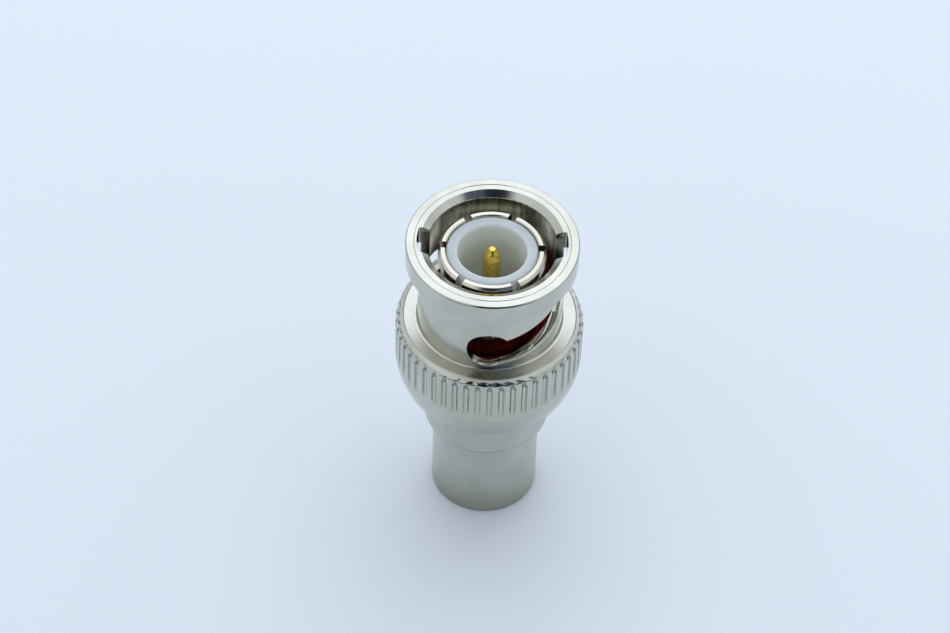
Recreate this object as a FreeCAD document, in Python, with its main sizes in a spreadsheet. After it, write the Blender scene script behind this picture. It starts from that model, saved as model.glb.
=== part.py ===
import FreeCAD, Part
import math
import os
import re

import Sketcher
from FreeCAD import Vector

# A coaxial adapter: a bayonet plug at the top and a phono jack at the bottom.
# Millimetres. +Z points out of the bayonet plug, and the origin is the centre of the jack's end,
# on which the adapter stands. The entry channels of the coupling nut face +X and -X.

# Driving sizes, piece by piece. Each has one value, and the pieces are bound to it.
SIZES = {
    # Coupling nut
    "overall_height": 27.7,
    "nut_length": 14.7,
    "nut_bore": 4.9,
    "web_thickness": 1.3,
    "rim_radius": 6.59,
    "rim_height": 1.73,
    "rim_edge": 0.16,
    "mouth_flare": 0.55,
    "mouth_depth": 0.34,
    "barrel_radius": 5.58,
    "barrel_foot_bevel": 0.15,
    "ring_height": 6.5,
    "ring_radius": 7.25,
    "ring_shoulder_width": 0.15,
    "ring_shoulder_height": 0.48,
    "ring_slope_width": 0.4,
    "ring_slope_height": 0.28,
    "tail_height": 2.3,
    "tail_waist_height": 1.15,
    "tail_waist_step": 0.17,
    "tail_step": 0.51,
    "tail_edge_bevel": 0.2,
    "flute_count": 50,
    "flute_width": 0.54,
    "flute_depth": 0.18,
    "flute_turn": -2.1,
    # Bayonet slots
    "channel_width": 2.5,
    "channel_clearance": 0.14,
    "ramp_height": 2.35,
    "ramp_fall": 2.35,
    "detent_radius": 1.7,
    "detent_depth": 6.15,
    "detent_rise": 0.5,
    "slot_sweep": 90,
    # Spring and thrust washers
    "nut_pull": 0.8,
    "nut_stop_gap": 0.1,
    "thrust_thickness": 0.3,
    "wave_thickness": 0.2,
    "wave_count": 3,
    "washer_bore_gap": 0.12,
    "washer_rim_gap": 0.12,
    # Plug contact
    "finger_recess": 0.85,
    "finger_bevel": 0.16,
    "finger_face_rise": 0.08,
    "finger_bulge": 0.25,
    "finger_nose": 0.35,
    "finger_bulge_length": 0.45,
    "finger_taper": 1.1,
    "contact_radius": 3.86,
    "contact_bore": 3.52,
    "finger_count": 6,
    "finger_slot_width": 0.62,
    "finger_slot_length": 7.0,
    "finger_slot_turn": -0.5,
    "finger_slot_shift_back": 0.32,
    "finger_slot_shift_left": 0.32,
    "flange_running_gap": 0.15,
    "flange_thickness": 0.7,
    "neck_radius": 4.0,
    "neck_running_gap": 0.06,
    "seat_thickness": 1.2,
    "spigot_radius": 3.9,
    "spigot_length": 3.2,
    "gasket_thickness": 1.6,
    "gasket_running_gap": 0.2,
    "gasket_edge_bevel": 0.12,
    # Insulators and inner contact
    "fit_gap": 0.04,
    "cup_recess": 0.08,
    "cup_funnel_flare": 0.15,
    "cup_mouth_bevel": 0.1,
    "cup_funnel_depth": 1.6,
    "cup_radius": 2.48,
    "cup_depth": 8.0,
    "cup_stem_radius": 2.7,
    "pin_radius": 0.675,
    "pin_root_radius": 0.85,
    "pin_tip_radius": 0.22,
    "pin_tip_bevel": 0.07,
    "pin_nose": 0.95,
    "pin_stand_out": 0.1,
    "pin_collar_radius": 1.2,
    "pin_collar_thickness": 0.5,
    "pin_rivet_radius": 0.6,
    "socket_recess": 0.95,
    "socket_bore": 1.62,
    "socket_radius": 2.15,
    "socket_lead_in": 0.2,
    "socket_end_wall": 0.7,
    "socket_slot_count": 4,
    "socket_slot_width": 0.4,
    "socket_slot_length": 6.0,
    "socket_slot_turn": 45,
    # Jack shell
    "jack_radius": 4.19,
    "jack_length": 8.46,
    "jack_bore": 3.3,
    "jack_edge": 0.1,
    "jack_lip": 0.3,
    "jack_lip_thickness": 0.3,
    "collar_radius": 4.95,
    "collar_edge": 0.12,
    "guide_clearance": 0.13,
    "guide_lead_in": 0.3,
    "guide_thickness": 0.6,
}

doc = FreeCAD.newDocument("adapter")
sheet = doc.addObject("Spreadsheet::Sheet", "Sizes")
for row, (alias, number) in enumerate(SIZES.items(), 1):
    sheet.set(f"A{row}", alias.replace("_", " "))
    sheet.set(f"B{row}", str(number))
    sheet.setAlias(f"B{row}", alias)
doc.recompute()


def tied(formula):
    """A formula in plain size names, written for the sheet."""
    return re.sub("[a-z_]+", lambda word: f"Sizes.{word[0]}" if word[0] in SIZES else word[0], formula)


def value(formula):
    """The number that a formula in size names gives now."""
    return float(sheet.evalExpression(tied(formula)))


# Heights that several pieces share, from the jack's end upwards, in size names
NUT_REAR = "(overall_height - nut_length)"
COLLAR_TOP = f"({NUT_REAR} - nut_stop_gap)"
WEB_TOP = f"({NUT_REAR} + web_thickness)"
THRUST_TOP = f"({WEB_TOP} + thrust_thickness)"
FLANGE_REAR = f"({THRUST_TOP} + wave_thickness + nut_pull + nut_stop_gap)"
FLANGE_TOP = f"({FLANGE_REAR} + flange_thickness)"
FINGER_TIP = "(overall_height - finger_recess)"
SPIGOT_END = f"({COLLAR_TOP} - spigot_length)"
CUP_TOP = f"({FINGER_TIP} - cup_recess)"
CUP_FLOOR = f"({CUP_TOP} - cup_depth)"
SEAT_TOP = FLANGE_REAR
SEAT_REAR = f"({SEAT_TOP} - seat_thickness)"
SOCKET_TOP = f"({SEAT_TOP} - socket_end_wall / 2)"
PIN_COLLAR_TOP = f"({SOCKET_TOP} + pin_collar_thickness)"
RING_TOP = f"({NUT_REAR} + ring_height)"
TAIL_TOP = f"({NUT_REAR} + tail_height)"
RIM_LOW = "(overall_height - rim_height)"
DETENT_LEVEL = "(overall_height - detent_depth)"
RAMP_END = f"({DETENT_LEVEL} - detent_rise)"
RAMP_START = f"({RAMP_END} + ramp_fall)"

# Radii that are a step or a clearance away from another radius
MOUTH_RADIUS = "(nut_bore + mouth_flare)"
CHANNEL_RADIUS = "(barrel_radius + channel_clearance)"
RING_SHOULDER_RADIUS = "(ring_radius - ring_shoulder_width)"
RING_FACE_RADIUS = f"({RING_SHOULDER_RADIUS} - ring_slope_width)"
TAIL_WAIST_RADIUS = "(ring_radius - tail_waist_step)"
TAIL_RADIUS = "(ring_radius - tail_step)"
FLANGE_RADIUS = "(nut_bore - flange_running_gap)"
GASKET_RADIUS = "(nut_bore - gasket_running_gap)"
BULGE_RADIUS = "(contact_radius + finger_bulge)"
FINGER_FACE_OUTER = "(contact_radius + finger_face_rise)"
FINGER_FACE_INNER = "(contact_bore + finger_bevel)"
CONTACT_SEAT = "(contact_bore - fit_gap)"
CUP_MOUTH_RADIUS = "(cup_radius + cup_funnel_flare)"
JACK_LIP_RADIUS = "(jack_bore - jack_lip)"
GUIDE_RADIUS = "(socket_bore + guide_clearance)"
WEB_BORE = "(neck_radius + neck_running_gap)"
WASHER_INNER = "(neck_radius + washer_bore_gap)"
WASHER_OUTER = "(nut_bore - washer_rim_gap)"


def bind(thing, prop, formula):
    thing.setExpression(prop, tied(formula))


def origin_part(body, role):
    """A plane or axis of a body's own origin, found by its role."""
    return next(part for part in body.Origin.OriginFeatures if part.Role == role)


def new_body(label):
    body = doc.addObject("PartDesign::Body", label)
    body.Label = label
    return body


def new_sketch(body, name, role, lift=None):
    """An empty sketch on one of the body's origin planes, lifted off it by a formula."""
    sketch = body.newObject("Sketcher::SketchObject", name)
    sketch.AttachmentSupport = [(origin_part(body, role), "")]
    sketch.MapMode = "FlatFace"
    if lift:
        bind(sketch, "AttachmentOffset.Base.z", lift)
    return sketch


def outline(sketch, corners):
    """A closed outline of straight edges, each corner held by its two formulas."""
    points = [Vector(value(across), value(up), 0) for across, up in corners]
    count = len(points)
    sketch.addGeometry([Part.LineSegment(points[k], points[(k + 1) % count]) for k in range(count)])
    sketch.addConstraint(
        [Sketcher.Constraint("Coincident", k, 2, (k + 1) % count, 1) for k in range(count)]
    )
    for k, (across, up) in enumerate(corners):
        for kind, formula, number in (("DistanceX", across, points[k].x), ("DistanceY", up, points[k].y)):
            index = sketch.addConstraint(Sketcher.Constraint(kind, -1, 1, k, 1, number))
            bind(sketch, f"Constraints[{index}]", formula)


def ring(sketch, across, up, radius):
    """A circle held by the formulas of its centre and radius."""
    centre = Vector(value(across), value(up), 0)
    sketch.addGeometry(Part.Circle(centre, Vector(0, 0, 1), value(radius)))
    limits = (("DistanceX", across, centre.x), ("DistanceY", up, centre.y))
    for kind, formula, number in limits:
        index = sketch.addConstraint(Sketcher.Constraint(kind, -1, 1, 0, 3, number))
        bind(sketch, f"Constraints[{index}]", formula)
    index = sketch.addConstraint(Sketcher.Constraint("Radius", 0, value(radius)))
    bind(sketch, f"Constraints[{index}]", radius)


def turned(label, corners):
    """A body turned about Z from an outline of (radius, height) corners."""
    body = new_body(label)
    sketch = new_sketch(body, f"{label}_profile", "XZ_Plane")
    outline(sketch, corners)
    turning = body.newObject("PartDesign::Revolution", f"{label}_turning")
    turning.Profile = sketch
    turning.ReferenceAxis = (sketch, ["V_Axis"])
    turning.Angle = 360
    doc.recompute()
    return body


def ring_edges(feature, rings):
    """The feature's circular edges at the given (radius, height) formulas."""
    wanted = [(value(radius), value(height)) for radius, height in rings]
    names = []
    for number, edge in enumerate(feature.Shape.Edges, 1):
        if not isinstance(edge.Curve, Part.Circle):
            continue
        here = (edge.Curve.Radius, edge.Curve.Center.z)
        if any(math.dist(here, spot) < 1e-4 for spot in wanted):
            names.append(f"Edge{number}")
    return names


def bevel(body, name, size, rings):
    """Bevel the turned edges at the given (radius, height) formulas."""
    base = body.Tip
    feature = body.newObject("PartDesign::Chamfer", name)
    feature.Base = (base, ring_edges(base, rings))
    bind(feature, "Size", size)
    doc.recompute()


def pocket(body, name, sketch, depth=None, both_ways=False, upward=False):
    """Cut a sketch's outline to a depth, or right through both ways."""
    cut = body.newObject("PartDesign::Pocket", name)
    cut.Profile = sketch
    if both_ways:
        cut.Type = "ThroughAll"
        cut.Midplane = True
    else:
        cut.Type = "Length"
        bind(cut, "Length", depth)
        cut.Reversed = upward
    return cut


def turned_copies(body, name, feature, count):
    """The feature repeated evenly about Z."""
    pattern = body.newObject("PartDesign::PolarPattern", name)
    pattern.Originals = [feature]
    pattern.Axis = (origin_part(body, "Z_Axis"), [""])
    pattern.Angle = 360
    bind(pattern, "Occurrences", count)
    body.Tip = pattern
    return pattern


# Coupling nut: a bored barrel with a rim at its mouth, a fluted grip ring and an inner web

def nut_corners():
    shoulder_top = f"{RING_TOP} - ring_slope_height"
    return [
        (WEB_BORE, NUT_REAR),
        (TAIL_RADIUS, NUT_REAR),
        (TAIL_WAIST_RADIUS, f"{NUT_REAR} + tail_waist_height"),
        ("ring_radius", TAIL_TOP),
        ("ring_radius", f"{shoulder_top} - ring_shoulder_height"),
        (RING_SHOULDER_RADIUS, shoulder_top),
        (RING_FACE_RADIUS, RING_TOP),
        ("barrel_radius", RING_TOP),
        ("barrel_radius", RIM_LOW),
        ("rim_radius", RIM_LOW),
        ("rim_radius", "overall_height - rim_edge"),
        ("rim_radius - rim_edge", "overall_height"),
        (MOUTH_RADIUS, "overall_height"),
        ("nut_bore", "overall_height - mouth_depth"),
        ("nut_bore", WEB_TOP),
        (WEB_BORE, WEB_TOP),
    ]


def cut_entry_channels(nut):
    """Two straight channels down from the mouth, through the rim and the barrel's wall."""
    sketch = new_sketch(nut, "entry_channels_outline", "XY_Plane", "overall_height")
    corners = [
        (CHANNEL_RADIUS, "channel_width / 2"),
        (f"{CHANNEL_RADIUS} * -1", "channel_width / 2"),
        (f"{CHANNEL_RADIUS} * -1", "channel_width / -2"),
        (CHANNEL_RADIUS, "channel_width / -2"),
    ]
    outline(sketch, corners)
    depth = f"overall_height - {RAMP_START} + ramp_height / 2"
    pocket(nut, "entry_channels", sketch, depth)
    doc.recompute()


def cut_cam_ramps(nut):
    """Two helical slots that fall from the entry channels towards the detents."""
    sketch = new_sketch(nut, "cam_ramp_section", "XZ_Plane")
    low = f"{RAMP_START} - ramp_height / 2"
    high = f"{RAMP_START} + ramp_height / 2"
    inner = "nut_bore - ( barrel_radius - nut_bore ) / 2"
    outer = "barrel_radius + ( barrel_radius - nut_bore ) / 2"
    outline(sketch, [(inner, low), (outer, low), (outer, high), (inner, high)])
    ramp = nut.newObject("PartDesign::SubtractiveHelix", "cam_ramp")
    ramp.Profile = sketch
    ramp.ReferenceAxis = (sketch, ["V_Axis"])
    ramp.Mode = "pitch-height-angle"
    bind(ramp, "Pitch", "ramp_fall * 360 / slot_sweep")
    bind(ramp, "Height", "ramp_fall")
    ramp.Reversed = True
    doc.recompute()
    turned_copies(nut, "cam_ramps", ramp, "2")
    doc.recompute()


def cut_detents(nut):
    """One round hole across the barrel, which leaves a detent at the end of each ramp."""
    sketch = new_sketch(nut, "detent_outline", "XZ_Plane")
    ring(sketch, "0", DETENT_LEVEL, "detent_radius")
    pocket(nut, "detents", sketch, both_ways=True)
    doc.recompute()


def cut_flutes(nut):
    """Narrow V-shaped flutes, up the grip ring and out through its sloped top."""
    sketch = new_sketch(nut, "flute_outline", "XY_Plane", TAIL_TOP)
    floor = "(ring_radius - flute_depth)"
    outside = "(ring_radius + flute_depth)"
    corners = []
    for reach, aside in ((floor, "0"), (outside, "(flute_width * -1)"), (outside, "flute_width")):
        across = f"{reach} * cos(flute_turn) - {aside} * sin(flute_turn)"
        up = f"{reach} * sin(flute_turn) + {aside} * cos(flute_turn)"
        corners.append((across, up))
    outline(sketch, corners)
    flute = pocket(nut, "flute", sketch, f"{RING_TOP} - {TAIL_TOP} + flute_depth", upward=True)
    doc.recompute()
    turned_copies(nut, "flutes", flute, "flute_count")
    doc.recompute()


def make_coupling_nut():
    nut = turned("coupling_nut", nut_corners())
    bevel(nut, "tail_edge", "tail_edge_bevel", [(TAIL_RADIUS, NUT_REAR)])
    bevel(nut, "barrel_foot", "barrel_foot_bevel", [("barrel_radius", RING_TOP)])
    cut_entry_channels(nut)
    cut_cam_ramps(nut)
    cut_detents(nut)
    cut_flutes(nut)
    return nut


# Washers between the nut's web and the contact's flange, which pull the nut back

def make_thrust_washer():
    return turned(
        "thrust_washer",
        [
            (WASHER_INNER, WEB_TOP),
            (WASHER_OUTER, WEB_TOP),
            (WASHER_OUTER, THRUST_TOP),
            (WASHER_INNER, THRUST_TOP),
        ],
    )


POINTS_PER_WAVE = 12


def closed_wave(radius, middle, swing, waves):
    """A closed wavy line round Z, as high as a cosine of its angle."""
    steps = POINTS_PER_WAVE * waves
    turns = [2 * math.pi * k / steps for k in range(steps)]
    points = [
        Vector(radius * math.cos(turn), radius * math.sin(turn), middle + swing * math.cos(waves * turn))
        for turn in turns
    ]
    curve = Part.BSplineCurve()
    curve.interpolate(points, PeriodicFlag=True)
    return curve.toShape()


def make_wave_washer():
    """A flat strip ring bent into waves: its four wavy edges joined by four ruled walls."""
    low = value(THRUST_TOP)
    high = value(FLANGE_REAR)
    half = value("wave_thickness") / 2
    swing = (high - low) / 2 - half
    middle = (high + low) / 2
    waves = int(value("wave_count"))
    inner, outer = value(WASHER_INNER), value(WASHER_OUTER)
    edges = [
        closed_wave(radius, middle + offset, swing, waves)
        for radius, offset in ((inner, -half), (outer, -half), (outer, half), (inner, half))
    ]
    walls = [Part.makeRuledSurface(edges[k], edges[(k + 1) % 4]) for k in range(4)]
    shell = Part.Shell(Part.makeShell([face for wall in walls for face in wall.Faces]).Faces)
    shell.sewShape()
    solid = Part.Solid(shell)
    solid.fix(1e-4, 1e-4, 1e-3)
    if solid.Volume < 0:
        solid.reverse()
    washer = doc.addObject("Part::Feature", "wave_washer")
    washer.Label = "wave_washer"
    washer.Shape = solid
    return washer


# Plug contact: a thin bored tube slotted into spring fingers, with a flange, a neck and a spigot

def contact_corners():
    bulge_top = f"{FINGER_TIP} - finger_nose"
    bulge_low = f"{bulge_top} - finger_bulge_length"
    return [
        ("jack_bore", SPIGOT_END),
        ("spigot_radius", SPIGOT_END),
        ("spigot_radius", COLLAR_TOP),
        ("neck_radius", COLLAR_TOP),
        ("neck_radius", FLANGE_REAR),
        (FLANGE_RADIUS, FLANGE_REAR),
        (FLANGE_RADIUS, FLANGE_TOP),
        ("contact_radius", FLANGE_TOP),
        ("contact_radius", f"{bulge_low} - finger_taper"),
        (BULGE_RADIUS, bulge_low),
        (BULGE_RADIUS, bulge_top),
        (FINGER_FACE_OUTER, FINGER_TIP),
        (FINGER_FACE_INNER, FINGER_TIP),
        ("contact_bore", f"{FINGER_TIP} - finger_bevel"),
        ("contact_bore", SEAT_TOP),
        ("cup_stem_radius + fit_gap", SEAT_TOP),
        ("cup_stem_radius + fit_gap", SEAT_REAR),
        ("jack_bore", SEAT_REAR),
    ]


def cut_finger_slots(contact):
    """Saw cuts down from the tips, each right across the tube; the saw ran a little off centre."""
    half = "finger_slot_width / 2"
    for number in range(int(value("finger_count")) // 2):
        name = f"saw_cut_{number + 1}"
        sketch = new_sketch(contact, f"{name}_outline", "XY_Plane", FINGER_TIP)
        turn = f"(finger_slot_turn + {number} * 360 / finger_count)"
        off = f"(finger_slot_shift_back * cos{turn} + finger_slot_shift_left * sin{turn})"
        corners = []
        for along, side in ((1, 1), (-1, 1), (-1, -1), (1, -1)):
            reach = f"{FLANGE_RADIUS} * {along}"
            aside = f"({off} + {half} * {side})"
            across = f"{reach} * cos{turn} - {aside} * sin{turn}"
            up = f"{reach} * sin{turn} + {aside} * cos{turn}"
            corners.append((across, up))
        outline(sketch, corners)
        pocket(contact, name, sketch, "finger_slot_length")
        doc.recompute()


def make_plug_contact():
    contact = turned("plug_contact", contact_corners())
    cut_finger_slots(contact)
    return contact


def make_gasket():
    inner = "contact_radius + fit_gap"
    top = f"{FLANGE_TOP} + gasket_thickness"
    gasket = turned(
        "gasket",
        [(inner, FLANGE_TOP), (GASKET_RADIUS, FLANGE_TOP), (GASKET_RADIUS, top), (inner, top)],
    )
    bevel(gasket, "gasket_edge", "gasket_edge_bevel", [(GASKET_RADIUS, top)])
    return gasket


# Insulators and the inner contact: a cup round the pin, and a sleeve round the socket

def make_plug_insulator():
    pin_hole = "pin_root_radius + fit_gap"
    counterbore = "socket_radius + fit_gap"
    insulator = turned(
        "plug_insulator",
        [
            (counterbore, SEAT_REAR),
            ("cup_stem_radius", SEAT_REAR),
            ("cup_stem_radius", SEAT_TOP),
            (CONTACT_SEAT, SEAT_TOP),
            (CONTACT_SEAT, CUP_TOP),
            (CUP_MOUTH_RADIUS, CUP_TOP),
            ("cup_radius", f"{CUP_TOP} - cup_funnel_depth"),
            ("cup_radius", CUP_FLOOR),
            (pin_hole, CUP_FLOOR),
            (pin_hole, PIN_COLLAR_TOP),
            (counterbore, PIN_COLLAR_TOP),
        ],
    )
    bevel(insulator, "cup_mouth", "cup_mouth_bevel", [(CUP_MOUTH_RADIUS, CUP_TOP)])
    return insulator


def make_centre_pin():
    tip = f"({FINGER_TIP} + pin_stand_out)"
    pin = turned(
        "centre_pin",
        [
            ("0", f"{SOCKET_TOP} - socket_end_wall"),
            ("pin_rivet_radius", f"{SOCKET_TOP} - socket_end_wall"),
            ("pin_rivet_radius", SOCKET_TOP),
            ("pin_collar_radius", SOCKET_TOP),
            ("pin_collar_radius", PIN_COLLAR_TOP),
            ("pin_root_radius", PIN_COLLAR_TOP),
            ("pin_root_radius", CUP_FLOOR),
            ("pin_radius", CUP_FLOOR),
            ("pin_radius", f"{tip} - pin_nose"),
            ("pin_tip_radius", tip),
            ("0", tip),
        ],
    )
    bevel(pin, "nose_tip", "pin_tip_bevel", [("pin_tip_radius", tip)])
    return pin


def make_socket_contact():
    wall_low = f"{SOCKET_TOP} - socket_end_wall"
    rivet_hole = "pin_rivet_radius + fit_gap / 2"
    contact = turned(
        "socket_contact",
        [
            ("socket_bore + socket_lead_in", "socket_recess"),
            ("socket_radius", "socket_recess"),
            ("socket_radius", SOCKET_TOP),
            (rivet_hole, SOCKET_TOP),
            (rivet_hole, wall_low),
            ("socket_bore", wall_low),
            ("socket_bore", "socket_recess + socket_lead_in"),
        ],
    )
    half = "socket_slot_width / 2"
    for number in range(int(value("socket_slot_count")) // 2):
        name = f"socket_cut_{number + 1}"
        sketch = new_sketch(contact, f"{name}_outline", "XY_Plane", "socket_recess")
        turn = f"(socket_slot_turn + {number} * 360 / socket_slot_count)"
        corners = []
        for along, side in ((1, 1), (-1, 1), (-1, -1), (1, -1)):
            reach = f"jack_bore * {along}"
            aside = f"{half} * {side}"
            across = f"{reach} * cos{turn} - {aside} * sin{turn}"
            up = f"{reach} * sin{turn} + {aside} * cos{turn}"
            corners.append((across, up))
        outline(sketch, corners)
        pocket(contact, name, sketch, "socket_slot_length", upward=True)
        doc.recompute()
    return contact


def make_socket_insulator():
    outer = "jack_bore - fit_gap"
    inner = "socket_radius + fit_gap"
    mouth = "jack_lip_thickness"
    shelf = f"{mouth} + guide_thickness"
    return turned(
        "socket_insulator",
        [
            (f"{GUIDE_RADIUS} + guide_lead_in", mouth),
            (outer, mouth),
            (outer, SEAT_REAR),
            (inner, SEAT_REAR),
            (inner, shelf),
            (GUIDE_RADIUS, shelf),
            (GUIDE_RADIUS, f"{mouth} + guide_lead_in"),
        ],
    )


# Jack shell: the barrel that the other plug grips, and the collar that stops the nut

def make_jack_shell():
    pocket_radius = "spigot_radius + fit_gap"
    return turned(
        "jack_shell",
        [
            (JACK_LIP_RADIUS, "0"),
            ("jack_radius - jack_edge", "0"),
            ("jack_radius", "jack_edge"),
            ("jack_radius", "jack_length"),
            ("collar_radius - collar_edge", "jack_length"),
            ("collar_radius", "jack_length + collar_edge"),
            ("collar_radius", COLLAR_TOP),
            (pocket_radius, COLLAR_TOP),
            (pocket_radius, SPIGOT_END),
            ("jack_bore", SPIGOT_END),
            ("jack_bore", "jack_lip_thickness"),
            (JACK_LIP_RADIUS, "jack_lip_thickness"),
        ],
    )


def check(pieces):
    """Every object has recomputed, and every piece is one valid solid."""
    for thing in doc.Objects:
        if "Invalid" in thing.State or "Error" in thing.State:
            raise RuntimeError(f"{thing.Label} did not recompute: {thing.State}")
    for piece in pieces:
        if piece.Shape.isNull() or not piece.Shape.isValid() or len(piece.Shape.Solids) != 1:
            raise RuntimeError(f"{piece.Label} is not one valid solid")


def main():
    pieces = [
        make_jack_shell(),
        make_plug_contact(),
        make_gasket(),
        make_wave_washer(),
        make_thrust_washer(),
        make_coupling_nut(),
        make_plug_insulator(),
        make_centre_pin(),
        make_socket_contact(),
        make_socket_insulator(),
    ]
    doc.recompute()
    check(pieces)
    os.makedirs("parts", exist_ok=True)
    for piece in pieces:
        piece.Shape.exportStep(f"parts/{piece.Label}.step")
        print(piece.Label, f"{piece.Shape.Volume:.2f} mm3", len(piece.Shape.Faces), "faces")


main()
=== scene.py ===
import math

import bmesh
import bpy
import numpy as np
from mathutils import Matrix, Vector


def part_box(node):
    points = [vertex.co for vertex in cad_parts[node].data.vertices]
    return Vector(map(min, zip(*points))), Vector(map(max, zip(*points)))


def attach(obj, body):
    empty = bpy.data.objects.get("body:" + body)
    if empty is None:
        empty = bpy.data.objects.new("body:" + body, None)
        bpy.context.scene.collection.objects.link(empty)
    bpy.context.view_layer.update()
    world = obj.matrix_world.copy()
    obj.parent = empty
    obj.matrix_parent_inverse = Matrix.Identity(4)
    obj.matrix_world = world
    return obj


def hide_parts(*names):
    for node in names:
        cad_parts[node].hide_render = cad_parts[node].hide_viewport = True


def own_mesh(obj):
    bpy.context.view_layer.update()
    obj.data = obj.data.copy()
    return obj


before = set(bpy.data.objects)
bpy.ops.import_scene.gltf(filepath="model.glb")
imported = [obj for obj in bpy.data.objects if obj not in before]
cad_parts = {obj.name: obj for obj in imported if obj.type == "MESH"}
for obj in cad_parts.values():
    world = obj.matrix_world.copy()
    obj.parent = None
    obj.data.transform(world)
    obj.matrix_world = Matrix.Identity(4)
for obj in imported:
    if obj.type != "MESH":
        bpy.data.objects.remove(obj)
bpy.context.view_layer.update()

# Bayonet plug to phono jack adapter. The pieces are worked out in millimetres from the axis,
# in the CAD frame, and written to their meshes in metres.

mm = 0.001
tiny = 1e-6  # what is closer than this is at the same place
weldReach = 2e-7  # in metres: points as close as this become one


def nodeSpan(node):
    # lowest and highest height of a CAD node, and its largest radius, in millimetres
    low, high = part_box(node)
    return low.z / mm, high.z / mm, high.x / mm


nutLow, nutTop, nutRadius = nodeSpan("coupling_nut")
shellLow, shellTop, shellRadius = nodeSpan("jack_shell")
contactLow, contactTop, flangeRadius = nodeSpan("plug_contact")
washerLow, washerTop, washerRadius = nodeSpan("thrust_washer")
waveLow, waveTop, waveRadius = nodeSpan("wave_washer")
gasketLow, gasketTop, gasketRadius = nodeSpan("gasket")
cupLow, cupTop, cupRadius = nodeSpan("plug_insulator")
sleeveLow, sleeveTop, sleeveRadius = nodeSpan("socket_insulator")
pinLow, pinTop, pinCollar = nodeSpan("centre_pin")
socketLow, socketTop, socketRadius = nodeSpan("socket_contact")
print("stage: frame loaded, nut from", round(nutLow, 2), "to", round(nutTop, 2), "mm")


# Surfaces

def softOutline(corners, steps=5, support=0.012):
    # straight runs between (radius, height, round) corners, each corner replaced by an arc of its round;
    # where a run has room for it, a point a little way out from each end of an arc keeps the run flat
    points = np.array([corner[:2] for corner in corners], float)
    rounds = np.array([corner[2] if len(corner) > 2 else 0 for corner in corners], float)
    ahead = np.roll(points, -1, 0) - points
    length = np.linalg.norm(ahead, axis=1)
    ahead = ahead / length[:, None]
    back = -np.roll(ahead, 1, 0)
    half = np.arccos(np.clip(np.sum(back * ahead, 1), -1, 1)) / 2
    trim = rounds / np.tan(half)
    room = length - trim - np.roll(trim, -1)
    share = np.linspace(0, 1, steps)[:, None]
    pieces = []
    for k in range(len(points)):
        if rounds[k] <= 0:
            pieces.append(points[k:k + 1])
            continue
        middle = (back[k] + ahead[k]) / np.linalg.norm(back[k] + ahead[k])
        centre = points[k] + middle * rounds[k] / math.sin(half[k])
        first, last = points[k] + back[k] * trim[k], points[k] + ahead[k] * trim[k]
        sweep = math.pi - 2 * half[k]
        weights = np.sin((1 - share) * sweep), np.sin(share * sweep)
        arc = centre + (weights[0] * (first - centre) + weights[1] * (last - centre)) / math.sin(sweep)
        if room[k - 1] > 3 * support:
            pieces.append((first + back[k] * support)[None, :])
        pieces.append(arc)
        if room[k] > 3 * support:
            pieces.append((last + ahead[k] * support)[None, :])
    return np.concatenate(pieces)


def divided(outline, longest):
    # a closed outline with each run over the longest length cut into equal shorter runs
    ahead = np.roll(outline, -1, 0)
    counts = np.maximum(1, np.ceil(np.linalg.norm(ahead - outline, axis=1) / longest).astype(int))
    start = np.repeat(outline, counts, 0)
    run = np.repeat(ahead - outline, counts, 0)
    order = np.arange(counts.sum()) - np.repeat(np.cumsum(counts) - counts, counts)
    return start + run * (order / np.repeat(counts, counts))[:, None]


def turnedGrid(outline, columns):
    # each outline point (radius, height) carried round the axis: x = r cos a, y = r sin a, z = height
    turn = np.linspace(0, 2 * np.pi, columns, endpoint=False)[:, None]
    radius, height = outline[:, 0][None, :], outline[:, 1][None, :]
    return np.stack([radius * np.cos(turn), radius * np.sin(turn), height + 0 * turn], -1)


def polarGrid(radius, degrees, height):
    # arrays of radius, azimuth in degrees and height made into points
    turn = np.radians(degrees)
    return np.stack([radius * np.cos(turn), radius * np.sin(turn), height + 0 * turn], -1)


def gridQuads(shape, wrapAcross, wrapAlong, start=0, keep=None):
    # the four corner numbers of each cell of a grid of points, which may close on itself either way;
    # keep picks the cells that stay
    across, along = shape[:2]
    i = np.arange(across if wrapAcross else across - 1)[:, None]
    j = np.arange(along if wrapAlong else along - 1)[None, :]
    iNext, jNext = (i + 1) % across, (j + 1) % along
    quads = np.stack([i * along + j, iNext * along + j, iNext * along + jNext, i * along + jNext], -1)
    quads = quads.reshape(-1, 4) if keep is None else quads[keep]
    return quads + start


def buildPiece(name, grids, walls=(), sharpAngle=32):
    # grids of points and flat many-sided walls joined into one closed skin, in metres
    points, faces, start = [], [], 0
    for grid, wrapAcross, wrapAlong, keep in grids:
        points.append(grid.reshape(-1, 3))
        faces += gridQuads(grid.shape, wrapAcross, wrapAlong, start, keep).tolist()
        start += len(points[-1])
    for wall in walls:
        points.append(wall)
        faces.append(list(range(start, start + len(wall))))
        start += len(wall)
    mesh = bpy.data.meshes.new(name)
    mesh.from_pydata((np.concatenate(points) * mm).tolist(), [], faces)
    skin = bmesh.new()
    skin.from_mesh(mesh)
    bmesh.ops.remove_doubles(skin, verts=skin.verts, dist=weldReach)
    bmesh.ops.dissolve_degenerate(skin, dist=weldReach, edges=skin.edges)
    loose = [edge for edge in skin.edges if not edge.link_faces]
    bmesh.ops.delete(skin, geom=loose, context="EDGES")
    bmesh.ops.recalc_face_normals(skin, faces=skin.faces)
    openEdges = sum(1 for edge in skin.edges if len(edge.link_faces) != 2)
    skin.to_mesh(mesh)
    skin.free()
    mesh.shade_smooth()
    mesh.set_sharp_from_angle(angle=math.radians(sharpAngle))
    piece = bpy.data.objects.new(name, mesh)
    bpy.context.scene.collection.objects.link(piece)
    print("piece:", name, len(mesh.polygons), "faces, edges not shared by two:", openEdges)
    return piece


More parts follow.
